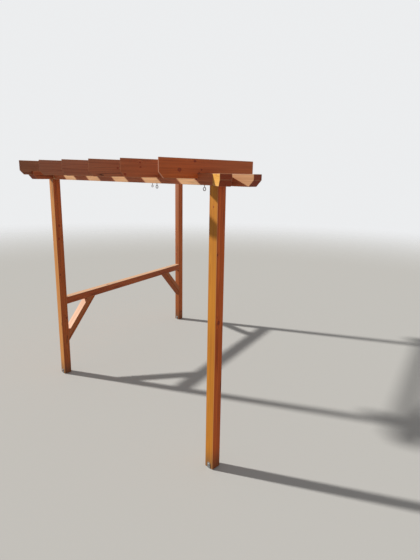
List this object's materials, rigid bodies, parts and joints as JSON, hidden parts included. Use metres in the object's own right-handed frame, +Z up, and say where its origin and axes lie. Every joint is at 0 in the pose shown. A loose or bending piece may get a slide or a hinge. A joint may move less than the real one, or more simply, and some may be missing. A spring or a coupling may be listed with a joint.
{
  "type": "wooden pergola",
  "caption": "Open timber pergola on three posts: triangular beam frame with halved corners, notched rafters with sloped ends, and a braced side rail.",
  "frame": {"origin": "on the floor, under the middle of the corner post's anchor", "axes": "+X along the front beam from the corner post to the front post, +Y along the rafters towards the back, +Z up"},
  "size_m": [4.5401, 3.7217, 2.99],
  "materials": {
    "stained_timber": "orange-brown translucent stain on planed softwood",
    "galvanised_steel": "dull zinc coating"
  },
  "bodies": {
    "root": {"corner_post": "stained_timber", "front_post": "stained_timber", "rear_post": "stained_timber", "front_beam": "stained_timber", "side_beam": "stained_timber", "diagonal_beam": "stained_timber", "rafter_1": "stained_timber", "rafter_2": "stained_timber", "rafter_3": "stained_timber", "rafter_4": "stained_timber", "rafter_5": "stained_timber", "rafter_6": "stained_timber", "side_rail": "stained_timber", "corner_brace": "stained_timber", "rear_brace": "stained_timber", "corner_post_anchor": "galvanised_steel", "front_post_anchor": "galvanised_steel", "rear_post_anchor": "galvanised_steel", "corner_anchor_bolt": "galvanised_steel", "front_anchor_bolt": "galvanised_steel", "rear_anchor_bolt": "galvanised_steel", "end_screw_eye": "galvanised_steel", "middle_screw_eye": "galvanised_steel", "small_screw_eye": "galvanised_steel"}
  },
  "joints": []
}
